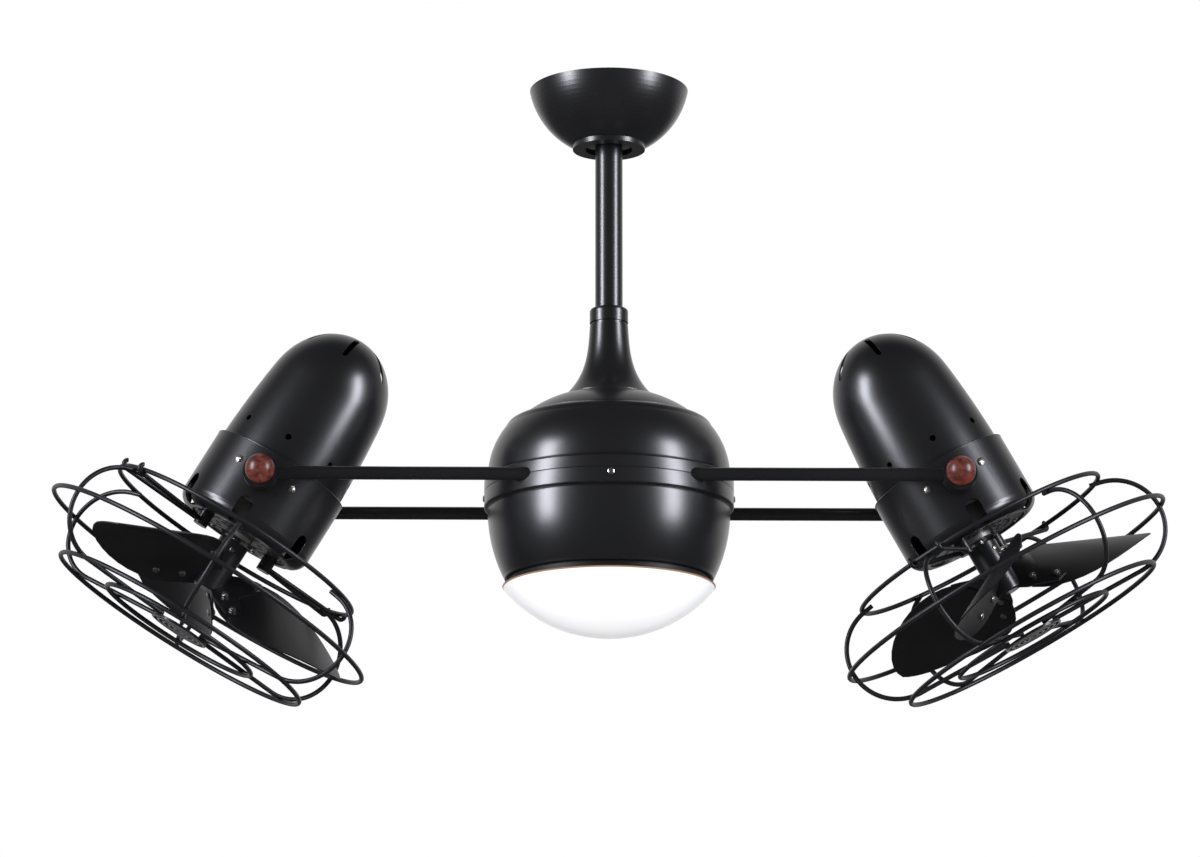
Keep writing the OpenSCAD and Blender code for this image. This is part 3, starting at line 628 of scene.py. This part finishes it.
def top_cap():
    """Low dome under the neck's foot."""
    slope = bow((CAP_R, CAP_H + CAP_EDGE), (NECK_FOOT_R + CAP_GAP, NECK_FOOT_H), -CAP_BULGE)
    hub_cover("top_cap", [(CAP_R, CAP_H)] + slope + [(NECK_FOOT_R - CAP_TUCK, NECK_FOOT_H)])


def upper_housing():
    """Upper half of the belt, and the shoulder over it."""
    inner = HUB_R - BELT_STEP
    path = quarter((HUB_R - SEAM, 0), (HUB_R, SEAM))
    path += quarter((HUB_R, BELT_UP - BELT_EDGE), (HUB_R - BELT_EDGE, BELT_UP))
    path += quarter((inner, BELT_UP), (inner - BELT_FILLET, BELT_UP + BELT_FILLET), inward=True)
    path += bow((inner - SHELL_IN, BELT_UP + SHELL_OFF), (SHOULDER_R, SHOULDER_H), -SHOULDER_BULGE)
    path += quarter((SHOULDER_R - 1, SHOULDER_H + 1), (SEAT_R, SEAT_H))
    hub_cover("upper_housing", path + [(SEAT_R - SEAT_W, SEAT_H)])


def lower_housing():
    """Lower half of the belt, and the bowl shaped shell down to the rolled rim."""
    inner = HUB_R - BELT_STEP
    path = quarter((RIM_R - 3, -RIM_DROP), (RIM_R - 0.2, -RIM_DROP + 1.2))
    path += bow((RIM_R, -RIM_DROP + 2), (inner - SHELL_IN, -BELT_DOWN - SHELL_OFF),
                -BOWL_BULGE)
    path += quarter((inner - BELT_FILLET, -BELT_DOWN - BELT_FILLET), (inner, -BELT_DOWN),
                    inward=True)
    path += quarter((HUB_R - BELT_EDGE, -BELT_DOWN), (HUB_R, -BELT_DOWN + BELT_EDGE))
    hub_cover("lower_housing", path + quarter((HUB_R, -SEAM), (HUB_R - SEAM, 0)))


# Small fastenings

def housing_screws():
    work = bmesh.new()
    for a in BELT_SCREWS:
        place = (shift(0, 0, -ARM_Z) @ turned(a, "Z") @ shift(HUB_R, 0, BELT_SCREW_Z)
                 @ turned(90, "Y"))
        add_shape(work, shank(*BELT_SHANK), place)
        add_shape(work, pan_head(*BELT_HEAD), place)
    finish_piece(work, "housing_screw_set", "turning_hub", "screw_steel", "housing_screws")


def dome_screws(side):
    work = bmesh.new()
    for a in DOME_SCREWS:
        place = (head_frame(side) @ turned(a, "Z") @ shift(BAND_R, 0, DOME_SCREW_Z)
                 @ turned(90, "Y"))
        add_shape(work, shank(*DOME_SHANK), place)
        add_shape(work, pan_head(*DOME_HEAD), place)
    finish_piece(work, side + "_dome_screw_set", side + "_head", "screw_steel",
                 side + "_dome_screws")


def blade_screws(side):
    """Pan heads on the blades' front faces, with nuts on the arms behind."""
    work = bmesh.new()
    for number in range(BLADES):
        for spot in BLADE_SCREWS:
            seat = blade_screw_seat(side, number, spot)
            add_shape(work, pan_head(*BLADE_HEAD),
                      seat @ shift(0, 0, -BLADE_T) @ turned(180, "X"))
            add_shape(work, hex_nut(*BLADE_NUT), seat @ shift(0, 0, ARM_SHEET + 0.1))
            add_shape(work, threaded_end(*BLADE_THREAD), seat @ shift(0, 0, -1))
    finish_piece(work, side + "_blade_screw_set", side + "_fan", "screw_steel",
                 side + "_blade_screws")


def bridge_ear(way):
    """A flat tab to one side of the motor's boss, with its outer corners rounded."""
    def make(work):
        upright = box(work, (EAR_SIDE, EAR_SIDE, BRIDGE_T), (way * EAR_AT, 0, BRIDGE_T / 2))
        outer = [edge for edge in upright if way * edge.verts[0].co.x > EAR_AT]
        bmesh.ops.bevel(work, geom=outer, offset=EAR_ROUND, segments=5, profile=0.5,
                        affect="EDGES", material=-1)
    return make


def motor_bridge(side):
    """The strap across the motor's shaft opening, with its two screws."""
    work = bmesh.new()
    place = head_frame(side) @ shift(0, 0, BOSS_LOW - BRIDGE_T)
    ring = [(BRIDGE_BORE, 0), (BRIDGE_R - 0.5, 0), (BRIDGE_R, 0.5), (BRIDGE_R, BRIDGE_T),
            (BRIDGE_BORE, BRIDGE_T), (BRIDGE_BORE, 0)]
    add_shape(work, turned_shape(ring, RING_STEPS), place)
    for way in (-1, 1):
        add_shape(work, bridge_ear(way), place)
        add_shape(work, pan_head(*BRIDGE_HEAD),
                  place @ shift(way * EAR_SCREW_AT, 0, 0) @ turned(180, "X"))
    finish_piece(work, side + "_motor_bridge", side + "_head", "plate_steel")


def face_screws(side):
    """Screws that hold the perforated plate under the band's lip."""
    work = bmesh.new()
    for a in FACE_SCREWS:
        place = (head_frame(side) @ turned(a, "Z") @ shift(FACE_SCREW_AT, 0, FACE_Z)
                 @ turned(180, "X"))
        add_shape(work, pan_head(*FACE_HEAD), place)
    finish_piece(work, side + "_face_screw_set", side + "_head", "screw_steel")


def hook(near, far):
    """A spoke's end, from where the spoke passes the rear ring, bent back over it."""
    foot = Vector((CLAMP_AT * math.cos(near), CLAMP_AT * math.sin(near), SPOKE_Z))
    reach = REAR_RING_R + HOOK_PAST
    end = Vector((reach * math.cos(far), reach * math.sin(far), SPOKE_Z))
    along = (end - foot).normalized()
    aside = along.cross(Vector((0, 0, 1)))
    facing = Matrix((aside, (0, 0, 1), -along)).transposed().to_4x4()

    def make(work):
        tip = bmesh.ops.create_circle(work, cap_ends=True, segments=12,
                                      radius=WIRE_R - 0.05)["verts"]
        bmesh.ops.transform(work, matrix=Matrix.Translation(end) @ facing, verts=tip)
        disc = list({face for vert in tip for face in vert.link_faces})
        centre = end + Vector((0, 0, REAR_RING_Z - SPOKE_Z))
        bmesh.ops.spin(work, geom=disc, cent=centre, axis=aside,
                       angle=math.radians(HOOK_TURN), steps=12)
    return make


def spoke_hooks(side):
    """The spokes' ends, each bent round the cage's rear ring."""
    work = bmesh.new()
    for at in HEADS[side]["spokes"]:
        for way in (-1, 1):
            near = math.radians(at + way * FORK_NEAR)
            far = math.radians(at + way * FORK_FAR)
            add_shape(work, hook(near, far), head_frame(side))
    finish_piece(work, side + "_spoke_hooks", side + "_head", "black_finish", finish=WIRE_BLACK)


def hub_set_screw(side):
    """The screw that grips the motor's shaft, in the side of the fan's hub."""
    work = bmesh.new()
    place = (head_frame(side) @ turned(HEADS[side]["blades"] + 60, "Z")
             @ shift(FAN_HUB_R, 0, SET_SCREW_Z) @ turned(90, "Y"))
    add_shape(work, pan_head(*SET_HEAD), place)
    finish_piece(work, side + "_hub_set_screw", side + "_fan", "screw_steel")


# Studio

def plain_floor(height, half):
    """The room's floor, well below the fan, in matt paper with a faint mottle."""
    material, shader, node, link = new_material("floor_paper")
    place = node("ShaderNodeTexCoord").outputs["Object"]
    mottle = node("ShaderNodeTexNoise", {"Vector": place, "Scale": 3}).outputs["Fac"]
    link(two_tone(node, mottle, colour(0.86, 0.86, 0.86), colour(0.88, 0.88, 0.88)),
         shader.inputs["Base Color"])
    set_inputs(shader, {"Roughness": 0.9})
    work = bmesh.new()
    bmesh.ops.create_grid(work, x_segments=1, y_segments=1, size=half)
    bmesh.ops.translate(work, verts=work.verts, vec=(0, 0, height))
    mesh = bpy.data.meshes.new("floor")
    work.to_mesh(mesh)
    work.free()
    floor = bpy.data.objects.new("floor", mesh)
    floor.visible_glossy = False
    mesh.materials.append(material)
    bpy.context.scene.collection.objects.link(floor)


def studio_world(fill, front):
    """White for the camera and, in reflections, behind the fan; dim in front; an even fill."""
    world = bpy.data.worlds.new("studio")
    bpy.context.scene.world = world
    world.use_nodes = True
    tree = world.node_tree
    node = node_maker(tree)
    shade = tree.nodes["Background"]
    shade.inputs["Color"].default_value = colour(1, 1, 1)

    path = node("ShaderNodeLightPath").outputs
    heading = node("ShaderNodeSeparateXYZ",
                   {"Vector": node("ShaderNodeTexCoord").outputs["Generated"]}).outputs
    away = node("ShaderNodeMapRange", {"Value": heading["Y"], "From Min": 0.2, "From Max": 0.95})
    above = node("ShaderNodeMapRange", {"Value": heading["Z"], "From Min": -0.2, "From Max": 0.1})
    wall = node("ShaderNodeMath", {0: away.outputs["Result"], 1: above.outputs["Result"]},
                operation="MULTIPLY")
    room = node("ShaderNodeMapRange", {"Value": wall.outputs[0], "To Min": front, "To Max": 1})
    mirrored = node("ShaderNodeMath", {0: path["Is Glossy Ray"], 1: path["Is Transmission Ray"]},
                    operation="MAXIMUM")
    on_object = node("ShaderNodeMix", {0: mirrored.outputs[0], 2: fill, 3: room.outputs["Result"]},
                     data_type="FLOAT")
    level = node("ShaderNodeMix", {0: path["Is Camera Ray"], 2: on_object.outputs[0], 3: 1.0},
                 data_type="FLOAT")
    tree.links.new(level.outputs[0], shade.inputs["Strength"])


def softbox(name, place, size, power, tint, mirrored=True):
    """A lamp that faces the middle of the fan."""
    lamp = bpy.data.lights.new(name, "AREA")
    lamp.shape = "RECTANGLE"
    lamp.size, lamp.size_y = size
    lamp.energy = power
    lamp.color = tint
    holder = bpy.data.objects.new(name, lamp)
    holder.location = place
    holder.rotation_euler = (AIM - Vector(place)).to_track_quat("-Z", "Y").to_euler()
    holder.visible_glossy = mirrored
    bpy.context.scene.collection.objects.link(holder)


def photo_camera():
    turn = Matrix.Rotation(-TURN, 3, "Z")
    forward = turn @ Vector((0, math.cos(LOOK_UP), math.sin(LOOK_UP)))
    camera = bpy.data.cameras.new("photo_camera")
    camera.sensor_width = SENSOR_W
    camera.lens = FOCAL_PX / IMAGE_W * SENSOR_W
    camera.clip_end = 50
    holder = bpy.data.objects.new("photo_camera", camera)
    holder.location = turn @ AIM - forward * (FOCAL_PX * MM_PER_PX * MM)
    holder.rotation_euler = forward.to_track_quat("-Z", "Y").to_euler()
    bpy.context.scene.collection.objects.link(holder)
    bpy.context.scene.camera = holder


dress_nodes()
neck_cover()
top_cap()
upper_housing()
lower_housing()
housing_screws()
for side in HEADS:
    motor_dome(side)
    band_bead(side)
    dome_screws(side)
    blade_screws(side)
    motor_bridge(side)
    face_screws(side)
    spoke_hooks(side)
    hub_set_screw(side)

plain_floor(height=-2.4, half=4)
studio_world(fill=0.35, front=0.045)
softbox("left_softbox", place=(-2.55, -1.45, 0.15), size=(0.8, 1.9), power=84, tint=COOL_WHITE)
softbox("right_softbox", place=(2.55, -1.45, 0.15), size=(0.8, 1.9), power=75, tint=COOL_WHITE)
softbox("low_softbox", place=(0, -1.2, -2.2), size=(2.0, 1.0), power=30, tint=WARM_WHITE,
        mirrored=False)
photo_camera()
bpy.context.scene.view_settings.view_transform = "Standard"
